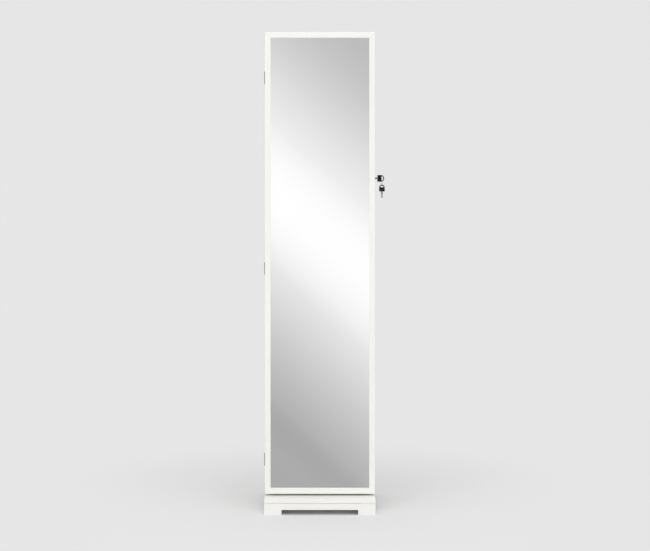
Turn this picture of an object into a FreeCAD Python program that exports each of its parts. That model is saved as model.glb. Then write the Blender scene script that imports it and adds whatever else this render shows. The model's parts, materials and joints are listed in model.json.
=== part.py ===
import FreeCAD, Part
import math
import os
import Sketcher

# Free-standing jewelry cabinet: a narrow case with a full-length mirror door that turns on a low square base.
# Millimetres. Origin on the floor under the swivel axis, +X to the cabinet's right as its door is faced,
# -Y towards the person at the mirror, +Z up.

V = FreeCAD.Vector
ALONG_X, ALONG_Y, ALONG_Z = V(1, 0, 0), V(0, 1, 0), V(0, 0, 1)

SIZES = [
    # base
    ("base_width", 368), ("base_depth", 368), ("base_height", 50), ("base_top_thickness", 12),
    ("plinth_thickness", 15), ("foot_width", 57.5), ("foot_height", 16.5), ("corner_block", 28),
    ("board_ease", 0.8), ("shadow_gap", 1.2), ("shadow_gap_depth", 3),
    # swivel bearing in the gap between base and case
    ("swivel_gap", 6), ("bearing_plate_size", 152), ("bearing_plate_thickness", 1.5),
    ("bearing_hole_radius", 20), ("glide_radius", 50), ("glide_width", 8), ("race_depth", 0.4),
    ("glide_clearance", 0.05),
    # case
    ("cabinet_depth", 248), ("cabinet_height", 1544), ("wall", 15), ("back_thickness", 5),
    ("back_rabbet", 7.5), ("dado_depth", 5), ("lining", 2),
    # shelves, spaced from each shelf's top to the next
    ("shelf_thickness", 12), ("shelf_setback", 30), ("top_space", 226), ("necklace_space", 660),
    ("box_space", 222),
    # necklace rail
    ("rail_height", 28), ("rail_depth", 12), ("rail_drop", 34), ("peg_count", 6), ("peg_radius", 2.4),
    ("peg_length", 26), ("peg_head_radius", 5), ("peg_head", 4),
    # ring tray
    ("tray_width", 300), ("tray_depth", 122), ("tray_height", 24), ("tray_wall", 6), ("tray_floor", 4),
    ("roll_count", 6), ("roll_clearance", 0.4),
    # door
    ("door_thickness", 18), ("door_gap", 1.6), ("frame_side", 19), ("frame_bottom", 20),
    ("frame_lip", 2.5), ("frame_rabbet", 7), ("frame_ease", 1), ("mirror_thickness", 3),
    ("backing_thickness", 3), ("batten_width", 34), ("mirror_clearance", 1), ("ear_bar_width", 290),
    ("ear_bar_height", 20), ("ear_bar_thickness", 1.6), ("ear_bar_standoff", 14), ("ear_bar_post", 8),
    ("ear_slot_count", 14), ("ear_slot_width", 3), ("ear_slot_depth", 8), ("upper_ear_bar_drop", 149),
    ("lower_ear_bar_drop", 304),
    # hinges, from the floor of the case to the low one's middle and from the roof to the top one's
    ("low_hinge", 113), ("top_hinge_drop", 151), ("hinge_height", 42), ("barrel_radius", 2.6),
    ("barrel_out", 0.2), ("pin_radius", 1.25), ("pin_clearance", 0.05), ("knuckle_gap", 0.3),
    ("leaf_width", 11), ("leaf_thickness", 1.2), ("leaf_gap", 0.1), ("leaf_relief", 0.3),
    # magnetic catch
    ("catch_width", 40), ("catch_depth", 16), ("catch_height", 13), ("catch_side_gap", 4),
    ("catch_clearance", 0.3), ("catch_plate", 1), ("pole_thickness", 1.5),
    # cam lock in the right side
    ("lock_drop", 487.6), ("lock_inset", 24), ("rosette_radius", 11), ("rosette", 1.5),
    ("barrel_bore_radius", 8), ("nut_thickness", 3), ("nut_radius", 12.5), ("barrel_tail", 1.5),
    ("plug_radius", 5.5), ("plug_clearance", 0.05), ("plug_stub", 6), ("cam_gap", 0.2),
    ("cam_thickness", 2), ("cam_half_width", 4.5), ("cam_hub_radius", 7), ("cam_reach", 22),
    ("cam_screw_radius", 1.5), ("cam_screw_head", 2.2), ("cam_screw_head_radius", 4.6),
    ("cam_screw_length", 5),
    # strike on the door that the cam turns behind
    ("strike_thickness", 1.5), ("strike_height", 12), ("strike_play", 1), ("strike_side_gap", 4),
    ("strike_flange", 21), ("strike_above", 13.5), ("strike_cam_gap", 3.3),
    # keys and their ring
    ("key_thickness", 2), ("key_neck", 8.5), ("key_neck_width", 7.5), ("key_blade", 14),
    ("key_blade_width", 5), ("key_bite", 1.1), ("key_clearance", 0.1), ("key_tang", 8),
    ("key_tang_width", 6), ("bow_length", 23), ("bow_radius", 11.3), ("bow_thickness", 3),
    ("bow_ease", 0.8), ("bow_rim", 3.1), ("bow_slot_inner", 3.2), ("bow_slot_angle", 66),
    ("ring_radius", 9.5), ("ring_wire", 0.6), ("ring_clearance", 0.45), ("ring_rest_angle", 60),
    ("spare_key_turn", 34),
]

doc = FreeCAD.newDocument("JewelryMirrorCabinet")
sheet = doc.addObject("Spreadsheet::Sheet", "Sizes")
for row, (alias, number) in enumerate(SIZES, start=1):
    sheet.set("A%d" % row, alias)
    sheet.set("B%d" % row, str(number))
    sheet.setAlias("B%d" % row, alias)
doc.recompute()


class Size:
    """A length with its number and its formula over the sheet's cells."""

    def __init__(self, number, text):
        self.number = number
        self.text = text

    def joined(self, other, sign, number):
        return Size(number, "(%s %s %s)" % (self.text, sign, as_size(other).text))

    def __add__(self, other):
        return self.joined(other, "+", self.number + as_size(other).number)

    def __sub__(self, other):
        return self.joined(other, "-", self.number - as_size(other).number)

    def __mul__(self, other):
        return self.joined(other, "*", self.number * as_size(other).number)

    def __truediv__(self, other):
        return self.joined(other, "/", self.number / as_size(other).number)

    def __neg__(self):
        return as_size(0) - self


def as_size(given):
    return given if isinstance(given, Size) else Size(float(given), "%.6g" % given)


class Cells:
    """The sheet's cells by name."""


S = Cells()
for alias, number in SIZES:
    setattr(S, alias, Size(float(sheet.get(alias)), "Sizes." + alias))

# Planes and places that several pieces share
cabinet_width = S.base_width
half_width = cabinet_width / 2
inner_half = half_width - S.wall
front = -S.cabinet_depth / 2
door_back = front + S.door_thickness
case_front = door_back + S.door_gap
case_back = S.cabinet_depth / 2
hinge_y = door_back + S.door_gap / 2
hinge_x = -half_width - S.barrel_out
case_floor = S.base_height + S.swivel_gap
case_roof = case_floor + S.cabinet_height
plinth_height = S.base_height - S.base_top_thickness
NODES = []


def bind(thing, **sizes):
    """Ties properties of a document object to their formulas."""
    for name, given in sizes.items():
        thing.setExpression(name, as_size(given).text)


def place(thing, at, rotation=None):
    """Puts a document object at three formulas, turned by a fixed rotation."""
    thing.Placement = FreeCAD.Placement(V(0, 0, 0), rotation or FreeCAD.Rotation())
    for axis, given in zip("xyz", at):
        thing.setExpression("Placement.Base." + axis, as_size(given).text)


def part(kind, label):
    thing = doc.addObject(kind, label)
    thing.Label = label
    return thing


def box(label, low, size):
    """A block from its lowest corner."""
    block = part("Part::Box", label)
    bind(block, Length=size[0], Width=size[1], Height=size[2])
    place(block, low)
    return block


def rod(label, radius, length, at, along):
    """A round bar that starts at a point and runs along a direction."""
    bar = part("Part::Cylinder", label)
    bind(bar, Radius=radius, Height=length)
    place(bar, at, FreeCAD.Rotation(ALONG_Z, along))
    return bar


def joined(label, pieces):
    whole = part("Part::MultiFuse", label)
    whole.Shapes = pieces
    return whole


def group(label, pieces):
    """Separate solids under one name."""
    whole = part("Part::Compound", label)
    whole.Links = pieces
    return whole


def cut(label, stock, *tools):
    """The stock less each tool in turn."""
    for number, tool in enumerate(tools, start=1):
        last = number == len(tools)
        less = part("Part::Cut", label if last else "%s cut %d" % (label, number))
        less.Base = stock
        less.Tool = tool
        stock = less
    return stock


def eased(label, stock, ease):
    """The stock with every edge taken off at 45 degrees."""
    doc.recompute()
    rounded = part("Part::Chamfer", label)
    rounded.Base = stock
    rounded.Edges = [(number, ease.number, ease.number) for number in range(1, len(stock.Shape.Edges) + 1)]
    return rounded


def node(thing):
    """Marks a finished sub-part: its label is its file's name."""
    NODES.append(thing.Label)
    return thing


def new_body(label):
    return part("PartDesign::Body", label)


def sketch_on(body, plane, offset=None):
    """A sketch on one of the body's own origin planes, moved along its normal where asked."""
    sketch = body.newObject("Sketcher::SketchObject", body.Name + "Sketch")
    origin = [feature for feature in body.Origin.OriginFeatures if feature.Role == plane + "_Plane"][0]
    sketch.AttachmentSupport = [(origin, "")]
    sketch.MapMode = "FlatFace"
    if offset is not None:
        sketch.setExpression("AttachmentOffset.Base.z", as_size(offset).text)
    return sketch


def hold(sketch, geometry, point, at):
    """Fixes one point of a sketch at two formulas measured from the sketch's origin."""
    for kind, given in zip(("DistanceX", "DistanceY"), at):
        size = as_size(given)
        number = sketch.addConstraint(Sketcher.Constraint(kind, -1, 1, geometry, point, size.number))
        sketch.setExpression("Constraints[%d]" % number, size.text)


def draw_line(sketch, start, end):
    ends = [V(as_size(x).number, as_size(y).number, 0) for x, y in (start, end)]
    return sketch.addGeometry(Part.LineSegment(*ends))


def outline(sketch, points):
    """A closed outline of straight lines through the points."""
    count = len(points)
    lines = [draw_line(sketch, points[i], points[(i + 1) % count]) for i in range(count)]
    for i in range(count):
        sketch.addConstraint(Sketcher.Constraint("Coincident", lines[i], 2, lines[(i + 1) % count], 1))
    for line, point in zip(lines, points):
        hold(sketch, line, 1, point)


def pad(body, sketch, length, midplane=False):
    raised = body.newObject("PartDesign::Pad", body.Name + "Pad")
    raised.Profile = sketch
    raised.Midplane = midplane
    bind(raised, Length=length)
    return raised


def pocket(body, sketch, length, midplane=True):
    sunk = body.newObject("PartDesign::Pocket", body.Name + "Pocket")
    sunk.Profile = sketch
    sunk.Midplane = midplane
    bind(sunk, Length=length)
    return sunk


def ease_edges(body, feature, ease, wanted, kind="Fillet"):
    """Rounds the wanted edges of a body's last feature, or chamfers them."""
    doc.recompute()
    edges = enumerate(feature.Shape.Edges, start=1)
    names = ["Edge%d" % number for number, edge in edges if wanted(edge)]
    softened = body.newObject("PartDesign::" + kind, body.Name + "Ease")
    softened.Base = (feature, names)
    bind(softened, **{"Radius" if kind == "Fillet" else "Size": ease})
    return softened


def runs_along(edge, axis):
    """Is the edge a straight one along this axis, x, y or z?"""
    bounds = edge.BoundBox
    lengths = {"x": bounds.XLength, "y": bounds.YLength, "z": bounds.ZLength}
    return abs(lengths.pop(axis) - edge.Length) < 1e-6 and max(lengths.values()) < 1e-6


# ---------------------------------------------------------------- base

def plinth_board(label, length, thickness, at, turned, shadow_gap):
    """A plinth board with a foot at each end; its length runs along X, or along Y when turned."""
    body = new_body(label + " blank")
    plane = "YZ" if turned else "XZ"
    sketch = sketch_on(body, plane)
    half = length / 2
    overlap = (S.base_width - length) / 2
    foot = half - (S.foot_width - overlap)
    outline(sketch, [(-half, 0), (-foot, 0), (-foot, S.foot_height), (foot, S.foot_height), (foot, 0),
                     (half, 0), (half, plinth_height), (-half, plinth_height)])
    board = pad(body, sketch, thickness, midplane=True)
    outer = S.base_width.number / 2

    def outside_corner(edge):
        return runs_along(edge, "z") and abs(abs(edge.BoundBox.XMin) - outer) < 1e-6

    if not turned:
        ease_edges(body, board, S.board_ease, outside_corner, "Chamfer")
    place(body, at)
    return node(cut(label, body, shadow_gap))


def build_base():
    top_low = (-S.base_width / 2, -S.base_depth / 2, plinth_height)
    top_stock = box("base top board", top_low, (S.base_width, S.base_depth, S.base_top_thickness))
    node(eased("base_top", top_stock, S.board_ease))
    off_y = (S.base_depth - S.plinth_thickness) / 2
    off_x = (S.base_width - S.plinth_thickness) / 2
    side_length = S.base_depth - S.plinth_thickness * 2
    gap, inset = S.shadow_gap, S.shadow_gap_depth
    gap_low = (-S.base_width / 2, -S.base_depth / 2, plinth_height - gap)
    around = box("gap outside", gap_low, (S.base_width, S.base_depth, gap))
    within = box("gap inside", (gap_low[0] + inset, gap_low[1] + inset, gap_low[2]),
                 (S.base_width - inset * 2, S.base_depth - inset * 2, gap))
    shadow_gap = cut("shadow gap", around, within)
    plinth_board("plinth_front", S.base_width, S.plinth_thickness, (0, -off_y, 0), False, shadow_gap)
    plinth_board("plinth_back", S.base_width, S.plinth_thickness, (0, off_y, 0), False, shadow_gap)
    plinth_board("plinth_left", side_length, S.plinth_thickness, (-off_x, 0, 0), True, shadow_gap)
    plinth_board("plinth_right", side_length, S.plinth_thickness, (off_x, 0, 0), True, shadow_gap)
    blocks = []
    corner_x = S.base_width / 2 - S.plinth_thickness
    corner_y = S.base_depth / 2 - S.plinth_thickness
    for side_x, side_y, name in ((-1, -1, "a"), (1, -1, "b"), (-1, 1, "c"), (1, 1, "d")):
        body = new_body("corner block " + name)
        sketch = sketch_on(body, "XY")
        corner = (corner_x * side_x, corner_y * side_y)
        outline(sketch, [corner, (corner[0] - S.corner_block * side_x, corner[1]),
                         (corner[0], corner[1] - S.corner_block * side_y)])
        pad(body, sketch, plinth_height - S.foot_height)
        place(body, (0, 0, S.foot_height))
        blocks.append(body)
    node(group("corner_blocks", blocks))


def bearing_plate(label, low, *races):
    """A square pressed plate with a hole in the middle and a shallow race where the glide ring lies."""
    size = S.bearing_plate_size
    plate = box(label + " blank", (-size / 2, -size / 2, low), (size, size, S.bearing_plate_thickness))
    hole = rod(label + " hole", S.bearing_hole_radius, S.bearing_plate_thickness, (0, 0, low), ALONG_Z)
    return node(cut(label, plate, hole, *races))


def ring_about_axis(label, inner, outer, low, high):
    disc = rod(label + " outer", outer, high - low, (0, 0, low), ALONG_Z)
    hole = rod(label + " inner", inner, high - low, (0, 0, low), ALONG_Z)
    return cut(label, disc, hole)


def build_bearing():
    """The swivel bearing: a glide ring lies in the lower plate's race and carries the upper plate."""
    lower_top = S.base_height + S.bearing_plate_thickness
    upper_low = case_floor - S.bearing_plate_thickness
    inner = S.glide_radius - S.glide_width / 2
    outer = S.glide_radius + S.glide_width / 2
    gap = S.glide_clearance
    race = ring_about_axis("race", inner - gap, outer + gap, lower_top - S.race_depth, lower_top)
    bearing_plate("turntable_lower_plate", S.base_height, race)
    bearing_plate("turntable_upper_plate", upper_low)
    node(ring_about_axis("turntable_glide_ring", inner, outer, lower_top - S.race_depth, upper_low - gap))


# ---------------------------------------------------------------- case

top_shelf = S.cabinet_height - S.top_space
ring_shelf = top_shelf - S.necklace_space
middle_shelf = ring_shelf - S.box_space
low_shelf = middle_shelf - S.box_space
SHELVES = [("shelf_low", low_shelf), ("shelf_middle", middle_shelf), ("shelf_ring", ring_shelf),
           ("shelf_top", top_shelf)]
panel_back = case_back - S.back_thickness


def build_shelves():
    """Shelves let into the sides, set back from the door; the heights are those of their tops."""
    depth = panel_back - case_front - S.shelf_setback
    reach = inner_half + S.dado_depth
    shelves = []
    for label, height in SHELVES:
        low = (-reach, case_front + S.shelf_setback, case_floor + height - S.shelf_thickness)
        shelves.append(node(box(label, low, (reach * 2, depth, S.shelf_thickness))))
    return shelves


def side_panel(label, side, tools):
    """A full-height side with a rabbet for the back along its rear edge."""
    body = new_body(label + " blank")
    sketch = sketch_on(body, "XY")
    inner, outer, rabbet = inner_half * side, half_width * side, (half_width - S.back_rabbet) * side
    outline(sketch, [(inner, case_front), (outer, case_front), (outer, case_back), (rabbet, case_back),
                     (rabbet, panel_back), (inner, panel_back)])
    board = pad(body, sketch, S.cabinet_height)
    outer_x = outer.number

    def outside_corner(edge):
        return runs_along(edge, "z") and abs(edge.BoundBox.XMin - outer_x) < 1e-6

    ease_edges(body, board, S.board_ease, outside_corner)
    place(body, (0, 0, case_floor))
    return node(cut(label, body, *tools))


def build_case(hinge_tools, lock_bore):
    """Floor, roof and shelves are let into the sides, and the back into a rabbet round the sides."""
    reach = inner_half + S.dado_depth
    size = (reach * 2, panel_back - case_front, S.wall)
    floor_board = node(box("case_bottom", (-reach, case_front, case_floor), size))
    roof_board = node(box("case_top", (-reach, case_front, case_roof - S.wall), size))
    boards = [floor_board, roof_board] + build_shelves()
    side_panel("case_side_left", -1, boards + hinge_tools)
    side_panel("case_side_right", 1, boards + [lock_bore])
    back_half = half_width - S.back_rabbet
    back_size = (back_half * 2, S.back_thickness, S.cabinet_height)
    node(box("case_back", (-back_half, panel_back, case_floor), back_size))


def build_necklace_rail():
    """The lined back of the tall compartment and the rail of pegs across it."""
    low = case_floor + ring_shelf
    high = case_floor + top_shelf - S.shelf_thickness
    lining_front = panel_back - S.lining
    node(box("back_lining", (-inner_half, lining_front, low), (inner_half * 2, S.lining, high - low)))
    rail_low = high - S.rail_drop - S.rail_height
    rail_front = lining_front - S.rail_depth
    rail_size = (inner_half * 2, S.rail_depth, S.rail_height)
    node(box("necklace_rail", (-inner_half, rail_front, rail_low), rail_size))
    pegs = []
    pitch = inner_half * 2 / S.peg_count
    for number in range(int(S.peg_count.number)):
        x = -inner_half + pitch * (number + 0.5)
        z = rail_low + S.rail_height / 2
        shank = rod("peg shank %d" % number, S.peg_radius, S.peg_length, (x, rail_front, z), -ALONG_Y)
        head = part("Part::Cone", "peg head %d" % number)
        bind(head, Radius1=S.peg_radius, Radius2=S.peg_head_radius, Height=S.peg_head)
        place(head, (x, rail_front - S.peg_length + S.peg_head, z), FreeCAD.Rotation(ALONG_Z, -ALONG_Y))
        pegs.append(joined("peg %d" % number, [shank, head]))
    node(group("necklace_pegs", pegs))


def build_ring_tray():
    """An open tray on the ring shelf, filled with a row of rolls that grip rings between them."""
    low = case_floor + ring_shelf
    y_low = case_front + S.shelf_setback + S.tray_wall
    shell = box("tray block", (-S.tray_width / 2, y_low, low), (S.tray_width, S.tray_depth, S.tray_height))
    inside = (S.tray_width - S.tray_wall * 2, S.tray_depth - S.tray_wall * 2)
    inner_low = (-inside[0] / 2, y_low + S.tray_wall, low + S.tray_floor)
    hollow = box("tray hollow", inner_low, inside + (S.tray_height - S.tray_floor,))
    node(cut("ring_tray", shell, hollow))
    pitch = inside[1] / S.roll_count
    radius = pitch / 2 - S.roll_clearance / 2
    rolls = []
    for number in range(int(S.roll_count.number)):
        at = (-inside[0] / 2 + S.roll_clearance, y_low + S.tray_wall + pitch * (number + 0.5),
              low + S.tray_floor + S.roll_clearance + radius)
        rolls.append(rod("roll %d" % number, radius, inside[0] - S.roll_clearance * 2, at, ALONG_X))
    node(group("ring_rolls", rolls))


# ---------------------------------------------------------------- door

seat_front = front + S.frame_lip
seat_half = half_width - S.frame_side + S.frame_rabbet
seat_low = case_floor + S.frame_bottom - S.frame_rabbet
seat_high = case_roof - S.frame_side + S.frame_rabbet


def frame_member(label, plane, points, length, mitres, offset=None):
    """One member of the door frame: a rabbeted section along its length, mitred at both ends."""
    body = new_body(label)
    section = sketch_on(body, plane, offset)
    outline(section, points)
    member = pad(body, section, length, midplane=plane == "YZ")
    axis = "x" if plane == "YZ" else "z"
    front_y = front.number

    def front_edge(edge):
        return runs_along(edge, axis) and abs(edge.BoundBox.YMin - front_y) < 1e-6

    ease_edges(body, member, S.frame_ease, front_edge)
    for points in mitres:
        ends = sketch_on(body, "XZ")
        outline(ends, points)
        pocket(body, ends, S.cabinet_depth * 2)
    return body


def build_door_frame(hinge_tools):
    side, low, high = S.frame_side, S.frame_bottom, S.frame_side
    inner = half_width - side
    over = S.frame_lip
    corners = {
        "low": (case_floor, case_floor + low, case_floor - over),
        "high": (case_roof, case_roof - high, case_roof + over),
    }
    for label, way in (("door_stile_hinge side", -1), ("door_stile_lock", 1)):
        outer, edge, rabbet = half_width * way, inner * way, seat_half * way
        points = [(outer, front), (edge, front), (edge, seat_front), (rabbet, seat_front),
                  (rabbet, door_back), (outer, door_back)]
        mitres = [[(outer, z), (edge, slope), (edge, past), (outer, past)]
                  for z, slope, past in corners.values()]
        stile = frame_member(label, "XY", points, S.cabinet_height, mitres, case_floor)
        if way < 0:
            stile = cut("door_stile_hinge", stile, *hinge_tools)
        node(stile)
    rails = [("door_rail_bottom", case_floor, case_floor + low, seat_low),
             ("door_rail_top", case_roof, case_roof - high, seat_high)]
    for label, outer, edge, rabbet in rails:
        points = [(front, outer), (front, edge), (seat_front, edge), (seat_front, rabbet),
                  (door_back, rabbet), (door_back, outer)]
        beyond = half_width + over
        mitres = [[(half_width * way, outer), (inner * way, edge), (beyond * way, edge),
                   (beyond * way, outer)] for way in (-1, 1)]
        node(frame_member(label, "YZ", points, cabinet_width, mitres))


def build_door_panels():
    """Stacked in the frame's rabbet: mirror, backing sheet, battens round a hollow, and lining."""
    half = seat_half - S.mirror_clearance
    low = seat_low + S.mirror_clearance
    height = seat_high - seat_low - S.mirror_clearance * 2
    backing_front = seat_front + S.mirror_thickness
    batten_front = backing_front + S.backing_thickness
    lining_front = door_back - S.lining
    node(box("door_mirror", (-half, seat_front, low), (half * 2, S.mirror_thickness, height)))
    node(box("door_backing", (-half, backing_front, low), (half * 2, S.backing_thickness, height)))
    deep = lining_front - batten_front
    wide = S.batten_width
    across = (half - wide) * 2
    battens = [box("left batten", (-half, batten_front, low), (wide, deep, height)),
               box("right batten", (half - wide, batten_front, low), (wide, deep, height)),
               box("low batten", (wide - half, batten_front, low), (across, deep, wide)),
               box("high batten", (wide - half, batten_front, low + height - wide), (across, deep, wide))]
    node(group("door_battens", battens))
    node(box("door_lining", (-half, lining_front, low), (half * 2, S.lining, height)))


def ear_bar(label, height):
    """A slotted bar that stands off the door's lining on two posts."""
    low = case_floor + height
    half = S.ear_bar_width / 2
    bar_front = door_back + S.ear_bar_standoff
    plate = box(label + " plate", (-half, bar_front, low),
                (S.ear_bar_width, S.ear_bar_thickness, S.ear_bar_height))
    slots = []
    pitch = (S.ear_bar_width - S.ear_bar_post * 2) / S.ear_slot_count
    for number in range(int(S.ear_slot_count.number)):
        x = -half + S.ear_bar_post + pitch * (number + 0.5) - S.ear_slot_width / 2
        at = (x, bar_front, low + S.ear_bar_height - S.ear_slot_depth)
        slots.append(box("%s slot %d" % (label, number), at,
                         (S.ear_slot_width, S.ear_bar_thickness, S.ear_slot_depth)))
    slotted = cut(label + " slotted", plate, group(label + " slots", slots))
    post_size = (S.ear_bar_post, S.ear_bar_standoff, S.ear_bar_height)
    left = box(label + " left post", (-half, door_back, low), post_size)
    right = box(label + " right post", (half - S.ear_bar_post, door_back, low), post_size)
    node(joined(label, [slotted, left, right]))


# ---------------------------------------------------------------- hinges

top_hinge = S.cabinet_height - S.top_hinge_drop
HINGES = [("low", S.low_hinge), ("middle", (S.low_hinge + top_hinge) / 2), ("top", top_hinge)]
KNUCKLES = 3


def hinge_leaf(label, height, way, owned):
    """One leaf with its own knuckles; way is 1 for the case's leaf and -1 for the door's."""
    low = case_floor + height - S.hinge_height / 2
    clear = S.barrel_radius + S.leaf_relief
    near = S.leaf_gap if way > 0 else -S.leaf_gap - S.leaf_thickness
    plate = box(label + " plate", (hinge_x + clear, hinge_y + near, low),
                (S.leaf_width - clear, S.leaf_thickness, S.hinge_height))
    pitch = S.hinge_height / KNUCKLES
    pieces = [plate]
    for number in owned:
        knuckle_low = low + pitch * number + S.knuckle_gap / 2
        tall = pitch - S.knuckle_gap
        pieces.append(rod("%s knuckle %d" % (label, number), S.barrel_radius, tall,
                          (hinge_x, hinge_y, knuckle_low), ALONG_Z))
        pieces.append(box("%s web %d" % (label, number), (hinge_x, hinge_y + near, knuckle_low),
                          (clear, S.leaf_thickness, tall)))
    bore = rod(label + " bore", S.pin_radius + S.pin_clearance, S.hinge_height, (hinge_x, hinge_y, low),
               ALONG_Z)
    return node(cut(label, joined(label + " blank", pieces), bore))


def build_hinges():
    """Three butt hinges. Gives the cutters for the case's side and for the door's stile."""
    pins, reliefs, case_mortises, stile_mortises = [], [], [], []
    for name, height in HINGES:
        low = case_floor + height - S.hinge_height / 2
        hinge_leaf("hinge_%s_case_leaf" % name, height, 1, (0, 2))
        hinge_leaf("hinge_%s_door_leaf" % name, height, -1, (1,))
        pins.append(rod("%s pin" % name, S.pin_radius, S.hinge_height, (hinge_x, hinge_y, low), ALONG_Z))
        start = low - S.leaf_relief
        relief_height = S.hinge_height + S.leaf_relief * 2
        reliefs.append(rod("%s hinge relief" % name, S.barrel_radius + S.leaf_relief, relief_height,
                           (hinge_x, hinge_y, start), ALONG_Z))
        size = (S.leaf_width + S.leaf_relief, S.leaf_thickness, relief_height)
        case_mortises.append(box("%s case mortise" % name, (hinge_x, hinge_y + S.leaf_gap, start), size))
        stile_mortises.append(box("%s stile mortise" % name,
                                  (hinge_x, hinge_y - S.leaf_gap - S.leaf_thickness, start), size))
    node(group("hinge_pins", pins))
    relief = group("hinge reliefs", reliefs)
    return [relief, group("case mortises", case_mortises)], [relief, group("stile mortises", stile_mortises)]


# ---------------------------------------------------------------- catch, lock and strike

lock_y = case_front + S.lock_inset
lock_z = case_roof - S.lock_drop
plug_face = half_width + S.rosette
barrel_end = inner_half - S.nut_thickness - S.barrel_tail
cam_outer = barrel_end - S.cam_gap
cam_inner = cam_outer - S.cam_thickness


def build_catch():
    """Magnetic catch under the roof panel and its steel plate on the door."""
    high = case_roof - S.wall
    x_low = inner_half - S.catch_side_gap - S.catch_width
    block = box("catch block", (x_low, case_front, high - S.catch_height),
                (S.catch_width, S.catch_depth, S.catch_height))
    reach = S.door_gap - S.catch_plate - S.catch_clearance
    poles = []
    for number in (1, 2):
        z = high - S.catch_height / 2 + S.pole_thickness * (number * 2 - 3.5)
        poles.append(box("catch pole %d" % number, (x_low + S.catch_width / 8, case_front - reach, z),
                         (S.catch_width * 0.75, reach, S.pole_thickness)))
    node(joined("magnet_catch", [block] + poles))
    node(box("catch_plate", (x_low, door_back, high - S.catch_height),
             (S.catch_width, S.catch_plate, S.catch_height)))


def build_lock():
    """Cam lock: barrel and nut in the case's side, plug and cam that the key turns."""
    at = (plug_face, lock_y, lock_z)
    rosette = rod("lock rosette", S.rosette_radius, S.rosette, at, -ALONG_X)
    barrel = rod("lock barrel", S.barrel_bore_radius, plug_face - barrel_end, at, -ALONG_X)
    bore = rod("lock bore", S.plug_radius + S.plug_clearance, plug_face - barrel_end, at, -ALONG_X)
    node(cut("lock_body", joined("lock blank", [rosette, barrel]), bore))
    side_bore = rod("side bore", S.barrel_bore_radius, S.wall, (half_width, lock_y, lock_z), -ALONG_X)
    nut = part("Part::Prism", "nut blank")
    bind(nut, Circumradius=S.nut_radius, Height=S.nut_thickness)
    place(nut, (inner_half, lock_y, lock_z), FreeCAD.Rotation(ALONG_Z, -ALONG_X))
    nut_bore = rod("nut bore", S.barrel_bore_radius, S.nut_thickness, (inner_half, lock_y, lock_z), -ALONG_X)
    node(cut("lock_nut", nut, nut_bore))

    plug_length = plug_face - cam_outer
    stock = rod("plug stock", S.plug_radius, plug_length, at, -ALONG_X)
    half_stub = S.plug_stub / 2
    stub_low = (cam_inner, lock_y - half_stub, lock_z - half_stub)
    stub_size = (S.cam_thickness, S.plug_stub, S.plug_stub)
    stub = box("plug stub", stub_low, stub_size)
    screw_at = (cam_inner, lock_y, lock_z)
    head = rod("cam screw head", S.cam_screw_head_radius, S.cam_screw_head, screw_at, -ALONG_X)
    shank = rod("cam screw shank", S.cam_screw_radius, S.cam_screw_length, screw_at, ALONG_X)
    cam_screw = node(joined("cam_screw", [head, shank]))
    gap = S.key_clearance
    way_deep = S.key_blade + gap
    keyway = box("keyway", (plug_face - way_deep, lock_y - S.key_thickness / 2 - gap,
                            lock_z - S.key_blade_width / 2 - gap),
                 (way_deep, S.key_thickness + gap * 2, S.key_blade_width + gap * 2))
    node(cut("lock_plug", joined("plug blank", [stock, stub]), keyway, cam_screw))
    hub = rod("cam hub", S.cam_hub_radius, S.cam_thickness, (cam_outer, lock_y, lock_z), -ALONG_X)
    arm = box("cam arm", (cam_inner, lock_y - S.cam_reach, lock_z - S.cam_half_width),
              (S.cam_thickness, S.cam_reach, S.cam_half_width * 2))
    square = box("cam square", stub_low, stub_size)
    node(cut("lock_cam", joined("cam blank", [hub, arm]), square))
    return side_bore


def build_strike():
    """A bent plate on the door: flange, arm past the cam, and a lip behind the raised cam."""
    thick = S.strike_thickness
    lip_front = lock_y + S.cam_half_width + S.strike_play
    lip_end = inner_half - S.strike_side_gap
    arm = cam_inner - S.strike_cam_gap
    flange_end = arm - S.strike_flange
    body = new_body("strike")
    sketch = sketch_on(body, "XY")
    outline(sketch, [(flange_end, door_back), (arm, door_back), (arm, lip_front), (lip_end, lip_front),
                     (lip_end, lip_front + thick), (arm - thick, lip_front + thick),
                     (arm - thick, door_back + thick), (flange_end, door_back + thick)])
    pad(body, sketch, S.strike_height)
    place(body, (0, 0, lock_z + S.strike_above))
    node(body)


# ---------------------------------------------------------------- keys
# A key's own frame: X from the bow's straight end to its round end, the blade towards -X, the bow flat in XZ.

bow_centre = S.bow_length - S.bow_radius
slot_outer = S.bow_radius - S.bow_rim


def key_blade(label, at, rotation):
    body = new_body(label)
    sketch = sketch_on(body, "XZ")
    neck, half_neck, half = -S.key_neck, S.key_neck_width / 2, S.key_blade_width / 2
    tip = neck - S.key_blade
    half_tang = S.key_tang_width / 2
    points = [(S.key_tang, -half_tang), (S.key_tang, half_tang), (0, half_tang), (0, half_neck),
              (neck, half_neck), (neck, half)]
    bite = S.key_blade / 8
    for number in (1, 3, 5):
        points.append((neck - bite * number, half))
        points.append((neck - bite * (number + 0.5), half - S.key_bite))
        points.append((neck - bite * (number + 1), half))
    points += [(tip + half, half), (tip, 0), (tip + half, -half), (neck, -half), (neck, -half_neck),
               (0, -half_neck), (0, -half_tang)]
    outline(sketch, points)
    pad(body, sketch, S.key_thickness, midplane=True)
    place(body, at, rotation)
    return node(body)


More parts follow.
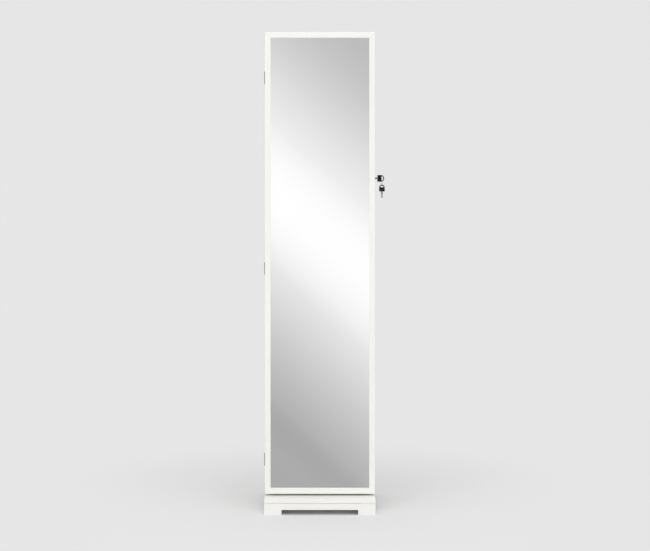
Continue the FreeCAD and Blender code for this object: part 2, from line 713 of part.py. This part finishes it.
def round_end(sketch, radius, degrees):
    """An arc about the bow's centre, from minus to plus this angle, with its centre and first end held."""
    cosine, sine = math.cos(math.radians(degrees)), math.sin(math.radians(degrees))
    first = (bow_centre + radius * cosine, -radius * sine)
    far = bow_centre + radius
    last = V(first[0].number, -first[1].number, 0)
    arc = sketch.addGeometry(Part.Arc(V(first[0].number, first[1].number, 0), V(far.number, 0, 0), last))
    hold(sketch, arc, 3, (bow_centre, 0))
    hold(sketch, arc, 1, first)
    sketch.addConstraint(Sketcher.Constraint("Vertical", arc, 1, arc, 2))
    return arc


def key_bow(label, at, rotation):
    """The moulded bow: straight at the neck, round at its far end, with a crescent slot for the ring."""
    body = new_body(label)
    sketch = sketch_on(body, "XZ")
    arc = round_end(sketch, S.bow_radius, 90)
    corners = [(bow_centre, S.bow_radius), (0, S.bow_radius), (0, -S.bow_radius), (bow_centre, -S.bow_radius)]
    top, neck, low = [draw_line(sketch, corners[i], corners[i + 1]) for i in range(3)]
    for first, second in ((arc, top), (top, neck), (neck, low), (low, arc)):
        sketch.addConstraint(Sketcher.Constraint("Coincident", first, 2, second, 1))
    hold(sketch, neck, 1, corners[1])
    hold(sketch, neck, 2, corners[2])
    outer = round_end(sketch, slot_outer, S.bow_slot_angle.number)
    inner = round_end(sketch, S.bow_slot_inner, S.bow_slot_angle.number)
    for end in (1, 2):
        points = [sketch.getPoint(curve, end) for curve in (outer, inner)]
        side = sketch.addGeometry(Part.LineSegment(*points))
        sketch.addConstraint(Sketcher.Constraint("Coincident", side, 1, outer, end))
        sketch.addConstraint(Sketcher.Constraint("Coincident", side, 2, inner, end))
    plate = pad(body, sketch, S.bow_thickness, midplane=True)
    half = S.bow_thickness.number / 2

    def rim(edge):
        bounds = edge.BoundBox
        return bounds.YLength < 1e-6 and abs(abs(bounds.YMin) - half) < 1e-6

    ease_edges(body, plate, S.bow_ease, rim, "Chamfer")
    tang = sketch_on(body, "XZ")
    half_tang = S.key_tang_width / 2
    outline(tang, [(-1, -half_tang), (S.key_tang, -half_tang), (S.key_tang, half_tang), (-1, half_tang)])
    pocket(body, tang, S.key_thickness)
    place(body, at, rotation)
    return node(body)


def key_ring(at):
    """The wire ring, an eight-sided section turned about the X axis."""
    body = new_body("key_ring")
    sketch = sketch_on(body, "XY")
    angles = [math.radians(45 * corner + 22.5) for corner in range(8)]
    outline(sketch, [(S.ring_wire * math.cos(angle), S.ring_radius + S.ring_wire * math.sin(angle))
                     for angle in angles])
    turned = body.newObject("PartDesign::Revolution", "key_ringRevolution")
    turned.Profile = sketch
    turned.ReferenceAxis = (sketch, ["H_Axis"])
    turned.Angle = 360
    place(body, at)
    return node(body)


def build_keys():
    """The key in the lock, the spare that hangs from it, and the ring that joins them."""
    bow_x = plug_face + S.key_clearance + S.key_neck
    in_lock = (bow_x, lock_y, lock_z)
    key_blade("key_blade", in_lock, None)
    key_bow("key_bow", in_lock, None)
    rest_radius = slot_outer - S.ring_wire - S.ring_clearance
    rest_angle = math.radians(S.ring_rest_angle.number)
    ring_x = bow_x + bow_centre + rest_radius * math.cos(rest_angle)
    wire_top = lock_z - rest_radius * math.sin(rest_angle)
    key_ring((ring_x, lock_y, wire_top - S.ring_radius))
    wire_low = wire_top - S.ring_radius * 2
    hung = (ring_x, lock_y, wire_low + S.ring_wire + S.ring_clearance - bow_centre - slot_outer)
    upright = FreeCAD.Rotation(ALONG_Y, -90)
    turned = FreeCAD.Rotation(ALONG_Z, S.spare_key_turn.number).multiply(upright)
    key_blade("spare_key_blade", hung, turned)
    key_bow("spare_key_bow", hung, turned)


build_base()
build_bearing()
case_hinge_tools, stile_hinge_tools = build_hinges()
build_catch()
lock_side_bore = build_lock()
build_strike()
build_case(case_hinge_tools, lock_side_bore)
build_necklace_rail()
build_ring_tray()
build_door_frame(stile_hinge_tools)
build_door_panels()
ear_bar("ear_bar_upper", S.cabinet_height - S.upper_ear_bar_drop)
ear_bar("ear_bar_lower", S.cabinet_height - S.lower_ear_bar_drop)
build_keys()
doc.recompute()

for thing in doc.Objects:
    if "Invalid" in thing.State or "Error" in thing.State:
        raise RuntimeError("%s failed: %s" % (thing.Label, thing.State))
os.makedirs("parts", exist_ok=True)
for label in NODES:
    shape = doc.getObjectsByLabel(label)[0].Shape
    if shape.isNull() or not shape.isValid() or not shape.Solids:
        raise RuntimeError("%s has no valid solid" % label)
    shape.exportStep("parts/%s.step" % label)
print("%d sub-parts" % len(NODES))
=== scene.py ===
import json
import math
import bmesh
import bpy
from mathutils import Matrix, Vector


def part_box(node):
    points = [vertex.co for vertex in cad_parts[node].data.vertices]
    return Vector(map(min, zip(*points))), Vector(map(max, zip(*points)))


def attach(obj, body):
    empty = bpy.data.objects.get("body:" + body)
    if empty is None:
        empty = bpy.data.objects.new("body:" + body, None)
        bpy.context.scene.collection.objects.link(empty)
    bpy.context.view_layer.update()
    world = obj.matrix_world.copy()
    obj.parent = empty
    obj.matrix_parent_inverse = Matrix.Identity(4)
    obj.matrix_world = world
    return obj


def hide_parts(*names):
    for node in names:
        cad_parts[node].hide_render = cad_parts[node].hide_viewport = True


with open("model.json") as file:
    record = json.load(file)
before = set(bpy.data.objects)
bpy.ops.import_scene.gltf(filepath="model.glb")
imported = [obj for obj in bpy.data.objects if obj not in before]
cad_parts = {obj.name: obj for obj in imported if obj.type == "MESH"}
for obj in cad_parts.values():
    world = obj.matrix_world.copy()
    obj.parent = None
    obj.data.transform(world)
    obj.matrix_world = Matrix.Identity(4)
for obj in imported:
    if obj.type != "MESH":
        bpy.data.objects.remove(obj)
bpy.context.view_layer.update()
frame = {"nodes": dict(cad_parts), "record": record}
NODES = frame["nodes"]


def linear(grey):
    """A display grey from 0 to 1 as the linear number that renders as it."""
    return grey / 12.92 if grey <= 0.04045 else ((grey + 0.055) / 1.055) ** 2.4


def rgb(red, green, blue):
    return (linear(red), linear(green), linear(blue), 1.0)


# ---------------------------------------------------------------- materials

class Shader:
    """A material with one Principled shader and short calls for the nodes that feed it."""

    def __init__(self, name, **settings):
        self.material = bpy.data.materials.new(name)
        self.material.use_nodes = True
        self.tree = self.material.node_tree
        self.surface = next(n for n in self.tree.nodes if n.type == "BSDF_PRINCIPLED")
        for socket, value in settings.items():
            self.surface.inputs[socket.replace("_", " ")].default_value = value
        self.place = self.tree.nodes.new("ShaderNodeTexCoord").outputs["Object"]

    def link(self, source, target):
        self.tree.links.new(source, target)

    def noise(self, scale, detail=3.0, stretch=(1, 1, 1), roughness=0.5):
        """Noise from 0 to 1 in the part's own metres."""
        mapping = self.tree.nodes.new("ShaderNodeMapping")
        mapping.inputs["Scale"].default_value = stretch
        self.link(self.place, mapping.inputs["Vector"])
        noise = self.tree.nodes.new("ShaderNodeTexNoise")
        noise.inputs["Scale"].default_value = scale
        noise.inputs["Detail"].default_value = detail
        noise.inputs["Roughness"].default_value = roughness
        self.link(mapping.outputs["Vector"], noise.inputs["Vector"])
        return noise.outputs["Fac"]

    def spread(self, source, low, high, start=0.3, end=0.7):
        """The source's span from start to end as low to high."""
        node = self.tree.nodes.new("ShaderNodeMapRange")
        for socket, value in (("From Min", start), ("From Max", end), ("To Min", low), ("To Max", high)):
            node.inputs[socket].default_value = value
        self.link(source, node.inputs["Value"])
        return node.outputs["Result"]

    def maths(self, operation, *values):
        node = self.tree.nodes.new("ShaderNodeMath")
        node.operation = operation
        for socket, value in zip(node.inputs, values):
            if isinstance(value, (int, float)):
                socket.default_value = value
            else:
                self.link(value, socket)
        return node.outputs[0]

    def colours(self, source, first, second):
        """The surface's colour, from the first to the second as the source goes from 0 to 1."""
        node = self.tree.nodes.new("ShaderNodeMix")
        node.data_type = "RGBA"
        colours = [socket for socket in node.inputs if socket.type == "RGBA"]
        colours[0].default_value = first
        colours[1].default_value = second
        self.link(source, node.inputs[0])
        result = next(socket for socket in node.outputs if socket.type == "RGBA")
        self.link(result, self.surface.inputs["Base Color"])
        return self

    def rough(self, source, low, high):
        self.link(self.spread(source, low, high), self.surface.inputs["Roughness"])
        return self

    def bump(self, source, height):
        """Relief of this height in metres."""
        node = self.tree.nodes.new("ShaderNodeBump")
        node.inputs["Distance"].default_value = height
        node.inputs["Strength"].default_value = 1.0
        self.link(source, node.inputs["Height"])
        before = self.surface.inputs["Normal"].links
        if before:
            self.link(before[0].from_socket, node.inputs["Normal"])
        self.link(node.outputs["Normal"], self.surface.inputs["Normal"])
        return self


def lacquer(name, warm, light):
    """Sprayed satin lacquer: a trace of orange peel and a slow drift in tone."""
    shader = Shader(name, Coat_Weight=0.12, Coat_Roughness=0.12)
    shader.colours(shader.spread(shader.noise(3.0), 0, 1), warm, light)
    shader.rough(shader.noise(9.0, 4.0), 0.33, 0.43)
    shader.bump(shader.noise(160.0, 2.0), 0.00001)
    return shader.material


def metal(name, dark, light, rough, grain, stretch, height=0.00001):
    """Drawn or plated metal: fine lines along one way, which the stretch makes."""
    shader = Shader(name, Metallic=1.0)
    lines = shader.noise(grain, 4.0, stretch, 0.65)
    shader.colours(shader.spread(lines, 0, 1), dark, light)
    shader.rough(lines, rough[0], rough[1])
    shader.bump(lines, height)
    return shader.material


def plastic(name, dark, light, rough, grain, height):
    """Moulded plastic with a fine spark-eroded grain."""
    shader = Shader(name, Specular_IOR_Level=0.35)
    shader.colours(shader.spread(shader.noise(40.0), 0, 1), dark, light)
    shader.rough(shader.noise(grain, 3.0), rough[0], rough[1])
    shader.bump(shader.noise(grain, 2.0), height)
    return shader.material


def velvet(name, dark, light):
    """Short pile: brushed patches, fine fibres and a pale edge where it turns away."""
    shader = Shader(name, Sheen_Weight=0.8, Sheen_Roughness=0.35, Specular_IOR_Level=0.1)
    shader.surface.inputs["Sheen Tint"].default_value = (0.62, 0.62, 0.66, 1)
    patches = shader.noise(14.0, 3.0, (1, 1, 0.5))
    fibres = shader.noise(1500.0, 2.0)
    both = shader.maths("ADD", shader.maths("MULTIPLY", patches, 0.6), shader.maths("MULTIPLY", fibres, 0.4))
    shader.colours(shader.spread(both, 0, 1), dark, light)
    shader.rough(fibres, 0.85, 1.0)
    shader.bump(fibres, 0.0002)
    return shader.material


def board(name, dark, light, stretch, height):
    """Bare wood or board with its grain along the short way of the stretch."""
    shader = Shader(name)
    grain = shader.noise(30.0, 6.0, stretch, 0.7)
    shader.colours(shader.spread(grain, 0, 1), dark, light)
    shader.rough(grain, 0.55, 0.75)
    shader.bump(grain, height)
    return shader.material


def mirror():
    """Silvered glass, with the faintest haze where it has been wiped."""
    shader = Shader("mirror_glass", Metallic=1.0, Specular_IOR_Level=0.5)
    haze = shader.noise(5.0, 5.0, (1, 1, 0.4))
    shader.colours(shader.spread(haze, 0, 1), (0.985, 0.985, 0.985, 1), (1.0, 1.0, 1.0, 1))
    shader.rough(haze, 0.0, 0.012)
    return shader.material


def screw_metal():
    """Zinc plate with painted shade in a cross where the recess is; the head's map runs from -1 to 1 across it.
    """
    shader = Shader("screw_metal", Metallic=1.0)
    uv = shader.tree.nodes.new("ShaderNodeUVMap")
    uv.uv_map = "head"
    split = shader.tree.nodes.new("ShaderNodeSeparateXYZ")
    shader.link(uv.outputs["UV"], split.inputs["Vector"])
    x, y = [shader.maths("ABSOLUTE", split.outputs[name]) for name in ("X", "Y")]
    painted_recess_shade = shader.maths("MINIMUM", shader.maths("MAXIMUM", shader.maths("MULTIPLY", x, 0.26), y),
                        shader.maths("MAXIMUM", shader.maths("MULTIPLY", y, 0.26), x))
    # painted shade: the cross of the recess is coloured near black, against the zinc's own pale grey
    shader.colours(shader.spread(painted_recess_shade, 0, 1, 0.13, 0.2), rgb(0.16, 0.16, 0.16), rgb(0.74, 0.74, 0.75))
    shader.rough(shader.noise(400.0), 0.3, 0.45)
    return shader.material


MATERIALS = {
    "white_lacquer": lacquer("white_lacquer", rgb(0.945, 0.95, 0.93), rgb(0.965, 0.968, 0.95)),
    "tray_wood": lacquer("tray_lacquer", rgb(0.93, 0.93, 0.91), rgb(0.955, 0.955, 0.94)),
    "backing_board": board("backing_board", rgb(0.42, 0.33, 0.24), rgb(0.54, 0.43, 0.32), (1, 1, 1), 0.0001),
    "raw_wood": board("raw_wood", rgb(0.70, 0.57, 0.40), rgb(0.86, 0.74, 0.56), (1, 1, 0.08), 0.0001),
    "lining_cloth": velvet("lining_velvet", rgb(0.10, 0.10, 0.115), rgb(0.19, 0.19, 0.205)),
    "ring_velvet": velvet("roll_velvet", rgb(0.10, 0.10, 0.115), rgb(0.20, 0.20, 0.215)),
    "mirror_glass": mirror(),
    "peg_nickel": metal("peg_nickel", rgb(0.68, 0.68, 0.68), rgb(0.8, 0.8, 0.8),
                        (0.2, 0.3), 90.0, (1, 0.1, 1)),
    "bar_metal": metal("bar_metal", rgb(0.7, 0.7, 0.71), rgb(0.82, 0.82, 0.83),
                       (0.26, 0.4), 300.0, (0.03, 1, 1)),
    "hinge_steel": metal("hinge_steel", rgb(0.34, 0.33, 0.32), rgb(0.5, 0.49, 0.48),
                         (0.3, 0.45), 300.0, (1, 1, 0.05)),
    "bearing_steel": metal("zinc_plate", rgb(0.6, 0.61, 0.62), rgb(0.78, 0.79, 0.8),
                           (0.3, 0.5), 60.0, (1, 1, 1)),
    "glide_plastic": plastic("glide_plastic", rgb(0.2, 0.2, 0.2), rgb(0.26, 0.26, 0.26),
                             (0.5, 0.6), 500.0, 0.00002),
    "catch_plastic": plastic("catch_plastic", rgb(0.9, 0.9, 0.88), rgb(0.94, 0.94, 0.92),
                             (0.4, 0.5), 700.0, 0.00002),
    "lock_chrome": metal("lock_chrome", rgb(0.8, 0.8, 0.81), rgb(0.9, 0.9, 0.91),
                         (0.08, 0.16), 120.0, (1, 1, 1), 0.000003),
    "key_steel": metal("key_steel", rgb(0.58, 0.58, 0.58), rgb(0.75, 0.75, 0.75),
                       (0.18, 0.32), 500.0, (0.08, 1, 1)),
    "key_plastic": plastic("key_plastic", rgb(0.018, 0.018, 0.018), rgb(0.05, 0.05, 0.05),
                           (0.42, 0.55), 1800.0, 0.00004),
}
SCREW_METAL = screw_metal()
# painted light: a lighter, warmer copy of the white lacquer, which brightens the base's top and plinth beyond
# what the lamps give them
BASE_PAINTED_LIGHT_LACQUER = lacquer("base_lacquer_painted_light", rgb(0.957, 0.95, 0.938), rgb(0.972, 0.966, 0.955))

for entry in frame["record"]["subparts"]:
    cad = NODES[entry["node"]]
    cad.data.materials.clear()
    on_base = entry["node"].startswith(("base_top", "plinth_"))
    # the base's top board and plinth boards take the painted-light copy of the lacquer
    cad.data.materials.append(BASE_PAINTED_LIGHT_LACQUER if on_base else MATERIALS[entry["material_slot"]])


# ---------------------------------------------------------------- pieces

def piece(name, mesh, body, material):
    thing = bpy.data.objects.new(name, mesh)
    bpy.context.scene.collection.objects.link(thing)
    mesh.materials.clear()
    mesh.materials.append(material)
    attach(thing, body)
    return thing


def screw_heads(name, body, seats, facing, radius, dome):
    """Cross-head screws in one mesh: a low dome on each seat, with its recess sunk where the dome allows."""
    rings, around = 8, 32
    turn = Vector((0, 0, 1)).rotation_difference(Vector(facing)).to_matrix().to_4x4()
    shape = bmesh.new()
    layer = shape.loops.layers.uv.new("head")
    for number, seat in enumerate(seats):
        place = Matrix.Translation(seat) @ turn @ Matrix.Rotation(0.7 * number, 4, "Z")
        loops, flat = [], {}
        for ring in range(rings + 1):
            share = ring / rings
            loop = []
            for step in range(around if ring else 1):
                angle = 2 * math.pi * step / around
                x, y = share * math.cos(angle), share * math.sin(angle)
                height = dome * math.sqrt(max(0.0, 1.02 - share ** 2)) if ring < rings else 0.0
                narrow, wide = sorted((abs(x), abs(y)))
                if narrow < 0.15 and wide < 0.55:
                    height -= dome * 0.7 * (1 - wide / 0.55 * 0.6)
                vertex = shape.verts.new(place @ Vector((x * radius, y * radius, height)))
                flat[vertex] = (x, y)
                loop.append(vertex)
            loops.append(loop)
        faces = [shape.faces.new((loops[0][0], loops[1][i], loops[1][(i + 1) % around])) for i in range(around)]
        for inner, outer in zip(loops[1:], loops[2:]):
            for i in range(around):
                j = (i + 1) % around
                faces.append(shape.faces.new((inner[i], outer[i], outer[j], inner[j])))
        for face in faces:
            face.smooth = True
            for corner in face.loops:
                corner[layer].uv = flat[corner.vert]
    mesh = bpy.data.meshes.new(name)
    shape.to_mesh(mesh)
    shape.free()
    return piece(name, mesh, body, SCREW_METAL)


def middle(node):
    low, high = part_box(node)
    return (Vector(low) + Vector(high)) / 2


# the faces that the screws of the hinge leaves and of the strike lie on
CASE_LEAF_FACE, DOOR_LEAF_FACE, STRIKE_FACE = -0.1051, -0.1053, -0.1045

case_seats, door_seats = [], []
for height in ("low", "middle", "top"):
    low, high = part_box("hinge_%s_case_leaf" % height)
    x = high[0] - 0.0040
    for share in (0.2, 0.8):
        z = low[2] + (high[2] - low[2]) * share
        case_seats.append((x, CASE_LEAF_FACE, z))
        door_seats.append((x, DOOR_LEAF_FACE, z))
screw_heads("hinge_screws_case", "cabinet", case_seats, (0, -1, 0), 0.0026, 0.00008)
screw_heads("hinge_screws_door", "door", door_seats, (0, 1, 0), 0.0026, 0.00008)

low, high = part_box("strike")
strike_seats = [(low[0] + reach, STRIKE_FACE, middle("strike").z) for reach in (0.0052, 0.0142)]
screw_heads("strike_screws", "door", strike_seats, (0, 1, 0), 0.0026, 0.0010)

low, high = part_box("magnet_catch")
catch_seats = [(low[0] + reach, middle("magnet_catch").y, low[2]) for reach in (0.006, 0.034)]
screw_heads("catch_screws", "cabinet", catch_seats, (0, 0, -1), 0.0026, 0.0009)

bar_seats = []
for bar in ("ear_bar_lower", "ear_bar_upper"):
    low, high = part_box(bar)
    for x in (low[0] + 0.004, high[0] - 0.004):
        bar_seats.append((x, high[1], middle(bar).z))
screw_heads("ear_bar_screws", "door", bar_seats, (0, 1, 0), 0.0024, 0.0009)

low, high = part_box("necklace_rail")
pitch = (high[0] - low[0]) / 6
rail_seats = [(low[0] + pitch * step, low[1], middle("necklace_rail").z) for step in (1, 3, 5)]
screw_heads("rail_screws", "cabinet", rail_seats, (0, -1, 0), 0.0030, 0.0009)

low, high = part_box("case_back")
back_seats = []
for side in (low[0] + 0.004, high[0] - 0.004):
    back_seats += [(side, high[1], low[2] + (high[2] - low[2]) * (step + 0.5) / 7) for step in range(7)]
for z in (low[2] + 0.0075, high[2] - 0.0075):
    back_seats += [(x, high[1], z) for x in (-0.12, -0.04, 0.04, 0.12)]
screw_heads("back_screws", "cabinet", back_seats, (0, 1, 0), 0.0028, 0.0009)


def ring_roll(name, number, low, high, count):
    """A stuffed velvet roll: a crowned tube with gathered ends, a slight ripple and a flattened underside."""
    length = high[0] - low[0]
    pitch = (high[1] - low[1]) / count
    radius = pitch / 2 * 0.99
    along, around = 96, 28
    shape = bmesh.new()
    rings = []
    for step in range(along + 1):
        share = step / along
        near_end = min(share, 1 - share) * length / radius
        swell = math.sqrt(max(0.0, 1 - max(0.0, 1 - near_end / 0.9) ** 2.2))
        loop = []
        for turn in range(around):
            angle = 2 * math.pi * turn / around
            wave = 0.012 * math.sin(share * 41 + angle * 2 + number * 1.9)
            wave += 0.009 * math.sin(share * 97 - angle * 3 + number * 0.7)
            gather = 0.05 * math.cos(angle * 14) * max(0.0, 1 - near_end / 1.6)
            reach = radius * max(0.05, swell) * (0.975 + wave + gather)
            y, z = reach * math.cos(angle), reach * math.sin(angle)
            z = max(z, -radius * 0.93)
            loop.append(shape.verts.new((length * (share - 0.5), y, z)))
        rings.append(loop)
    for first, second in zip(rings, rings[1:]):
        for i in range(around):
            j = (i + 1) % around
            shape.faces.new((first[i], first[j], second[j], second[i])).smooth = True
    for loop, order in ((rings[0], -1), (rings[-1], 1)):
        shape.faces.new(loop[::order]).smooth = True
    shape.transform(Matrix.Translation(((low[0] + high[0]) / 2, low[1] + pitch * (number + 0.5),
                                        low[2] + radius)))
    mesh = bpy.data.meshes.new(name)
    shape.to_mesh(mesh)
    shape.free()
    roll = piece(name, mesh, "cabinet", MATERIALS["ring_velvet"])
    smooth = roll.modifiers.new("smooth", "SUBSURF")
    smooth.levels = smooth.render_levels = 1
    return roll


low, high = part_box("ring_rolls")
for number in range(6):
    roll = ring_roll("ring_roll_%d" % (number + 1), number, low, high, 6)
    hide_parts("ring_rolls")


# ---------------------------------------------------------------- stage, light and camera

BACKGROUND = linear(0.902)


def light_path(tree):
    return tree.nodes.new("ShaderNodeLightPath").outputs


def floor_material():
    """Pale floor: it catches the shadow near the object, turns into the plain background further out, and
    lets mirror rays through to the studio's tones."""
    material = bpy.data.materials.new("stage_floor")
    material.use_nodes = True
    tree = material.node_tree
    tree.nodes.clear()
    new, link = tree.nodes.new, tree.links.new
    matt = new("ShaderNodeBsdfDiffuse")
    matt.inputs["Color"].default_value = (0.765, 0.765, 0.765, 1)
    pale = new("ShaderNodeEmission")
    pale.inputs["Color"].default_value = (BACKGROUND, BACKGROUND, BACKGROUND, 1)
    place = new("ShaderNodeTexCoord")
    reach = new("ShaderNodeVectorMath")
    reach.operation = "LENGTH"
    link(place.outputs["Object"], reach.inputs[0])
    fade = new("ShaderNodeMapRange")
    fade.interpolation_type = "SMOOTHSTEP"
    fade.inputs["From Min"].default_value = 0.35
    fade.inputs["From Max"].default_value = 1.3
    link(reach.outputs["Value"], fade.inputs["Value"])
    path = light_path(tree)
    seen = new("ShaderNodeMath")
    seen.operation = "MULTIPLY"
    link(fade.outputs["Result"], seen.inputs[0])
    link(path["Is Camera Ray"], seen.inputs[1])
    near = new("ShaderNodeMixShader")
    link(seen.outputs[0], near.inputs[0])
    link(matt.outputs[0], near.inputs[1])
    link(pale.outputs[0], near.inputs[2])
    clear = new("ShaderNodeBsdfTransparent")
    whole = new("ShaderNodeMixShader")
    link(path["Is Glossy Ray"], whole.inputs[0])
    link(near.outputs[0], whole.inputs[1])
    link(clear.outputs[0], whole.inputs[2])
    link(whole.outputs[0], new("ShaderNodeOutputMaterial").inputs["Surface"])
    return material


def studio_world():
    """Even pale light; mirrors and metal see a studio with one tilted white band."""
    world = bpy.data.worlds.new("studio")
    bpy.context.scene.world = world
    world.use_nodes = True
    tree = world.node_tree
    tree.nodes.clear()
    new, link = tree.nodes.new, tree.links.new
    place = new("ShaderNodeTexCoord")
    across = new("ShaderNodeVectorMath")
    across.operation = "DOT_PRODUCT"
    across.inputs[1].default_value = (0.87, 0.0, 1.0)
    link(place.outputs["Generated"], across.inputs[0])
    spread = new("ShaderNodeMapRange")
    spread.inputs["From Min"].default_value = -0.6
    spread.inputs["From Max"].default_value = 0.6
    link(across.outputs["Value"], spread.inputs["Value"])
    ramp = new("ShaderNodeValToRGB")
    stops = [(-0.60, 0.80), (-0.32, 0.675), (-0.225, 0.675), (-0.18, 0.70), (-0.075, 0.905), (-0.018, 1.0),
             (0.045, 0.935), (0.18, 0.74), (0.60, 0.90)]
    while len(ramp.color_ramp.elements) < len(stops):
        ramp.color_ramp.elements.new(0.5)
    for element, (where, grey) in zip(ramp.color_ramp.elements, stops):
        element.position = (where + 0.6) / 1.2
        element.color = rgb(grey, grey, grey)
    ramp.color_ramp.interpolation = "CARDINAL"
    link(spread.outputs["Result"], ramp.inputs["Fac"])
    shown = new("ShaderNodeBackground")
    shown.inputs["Color"].default_value = (BACKGROUND, BACKGROUND, BACKGROUND, 1)
    mirrored = new("ShaderNodeBackground")
    link(ramp.outputs["Color"], mirrored.inputs["Color"])
    ambient = new("ShaderNodeBackground")
    ambient.inputs["Color"].default_value = (1, 1, 1, 1)
    ambient.inputs["Strength"].default_value = 0.695
    path = light_path(tree)
    first, second = new("ShaderNodeMixShader"), new("ShaderNodeMixShader")
    link(path["Is Camera Ray"], first.inputs[0])
    link(ambient.outputs[0], first.inputs[1])
    link(shown.outputs[0], first.inputs[2])
    link(path["Is Glossy Ray"], second.inputs[0])
    link(first.outputs[0], second.inputs[1])
    link(mirrored.outputs[0], second.inputs[2])
    link(second.outputs[0], new("ShaderNodeOutputWorld").inputs["Surface"])


def softbox(name, at, towards, size, power):
    lamp = bpy.data.lights.new(name, "AREA")
    lamp.shape = "RECTANGLE"
    lamp.size, lamp.size_y = size
    lamp.energy = power
    thing = bpy.data.objects.new(name, lamp)
    thing.location = at
    thing.rotation_euler = (Vector(towards) - Vector(at)).to_track_quat("-Z", "Y").to_euler()
    thing.visible_glossy = False
    bpy.context.scene.collection.objects.link(thing)


floor_mesh = bpy.data.meshes.new("stage_floor")
floor_mesh.from_pydata([(-12, -12, 0), (12, -12, 0), (12, 12, 0), (-12, 12, 0)], [], [(0, 1, 2, 3)])
floor_mesh.materials.append(floor_material())
floor = bpy.data.objects.new("stage_floor", floor_mesh)
bpy.context.scene.collection.objects.link(floor)
studio_world()
softbox("softbox_left", (-2.6, -3.2, 0.9), (0, 0, 0.7), (2.0, 2.4), 33)
softbox("softbox_right", (2.8, -2.6, 0.9), (0, 0, 0.7), (1.8, 2.2), 21)
softbox("softbox_top", (0, -0.8, 5.0), (0, 0, 0), (3.0, 3.0), 80)

camera_data = bpy.data.cameras.new("camera")
camera_data.lens = 67.6
camera_data.sensor_width = 36.0
camera_data.shift_y = -0.08
camera = bpy.data.objects.new("camera", camera_data)
camera.location = (0.017, -4.204, 0.96)
camera.rotation_euler = (math.pi / 2, 0, 0)
bpy.context.scene.collection.objects.link(camera)
scene = bpy.context.scene
scene.camera = camera
scene.view_settings.view_transform = "Standard"
